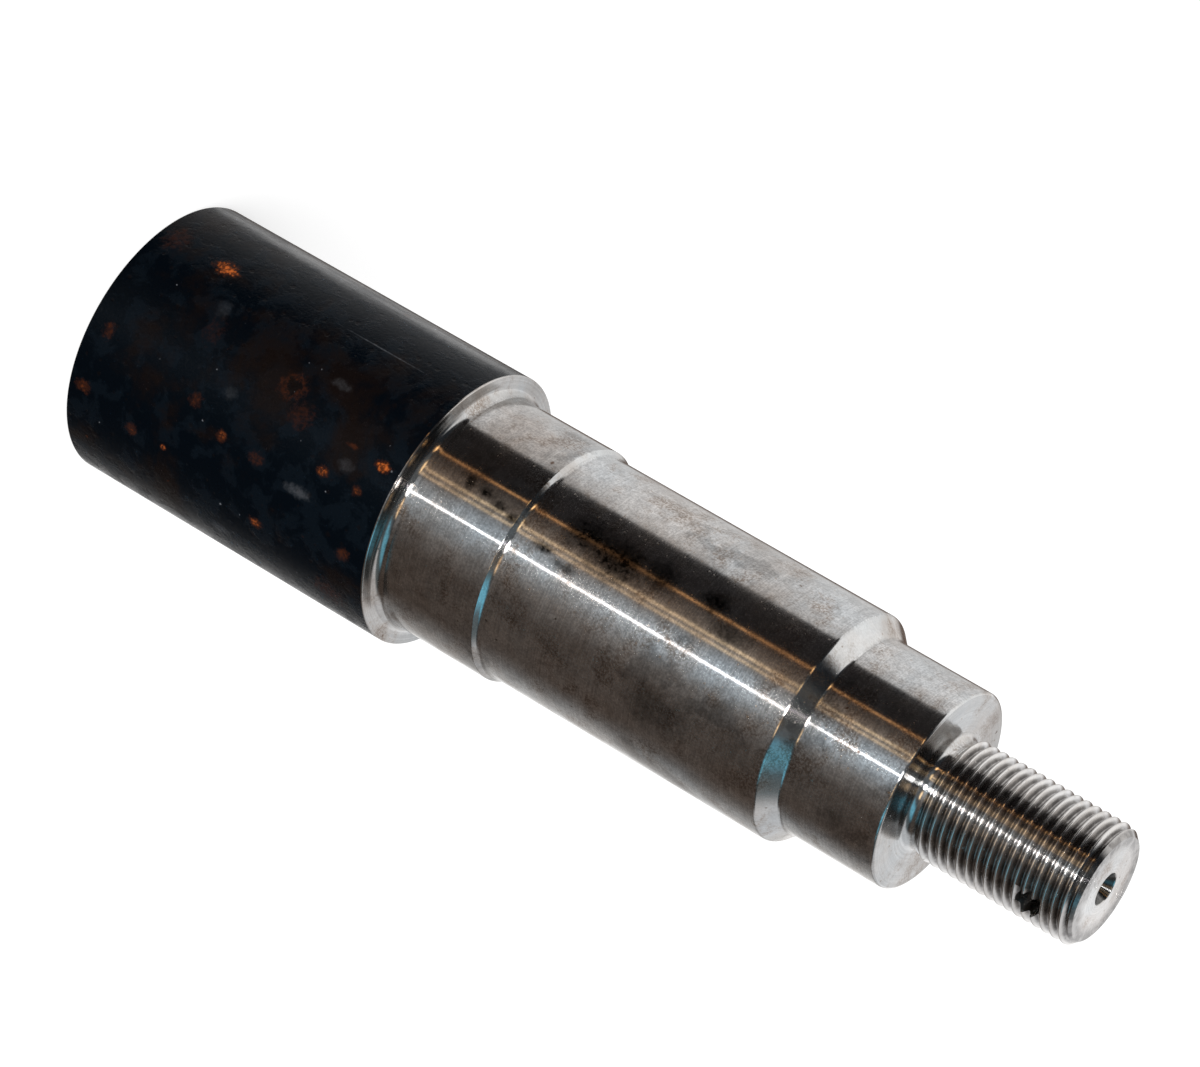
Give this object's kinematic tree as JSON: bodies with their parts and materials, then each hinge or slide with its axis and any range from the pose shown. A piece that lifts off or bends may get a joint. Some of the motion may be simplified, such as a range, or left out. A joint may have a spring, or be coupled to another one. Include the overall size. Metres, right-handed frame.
{
  "type": "stepped shaft",
  "caption": "Turned steel hub spindle: rolled bar root, stepped bearing seats, and a threaded nose with a split pin hole.",
  "frame": {"origin": "centre of the sawn end face of the bar, which the shaft stands on", "axes": "+Z along the shaft's axis, from the bar to the threaded nose; the split pin hole runs along Y"},
  "size_m": [0.085, 0.085, 0.33],
  "materials": {
    "steel": "turned steel with a black rolled skin on the bar"
  },
  "bodies": {
    "root": {"stepped_shaft": "steel"}
  },
  "joints": []
}
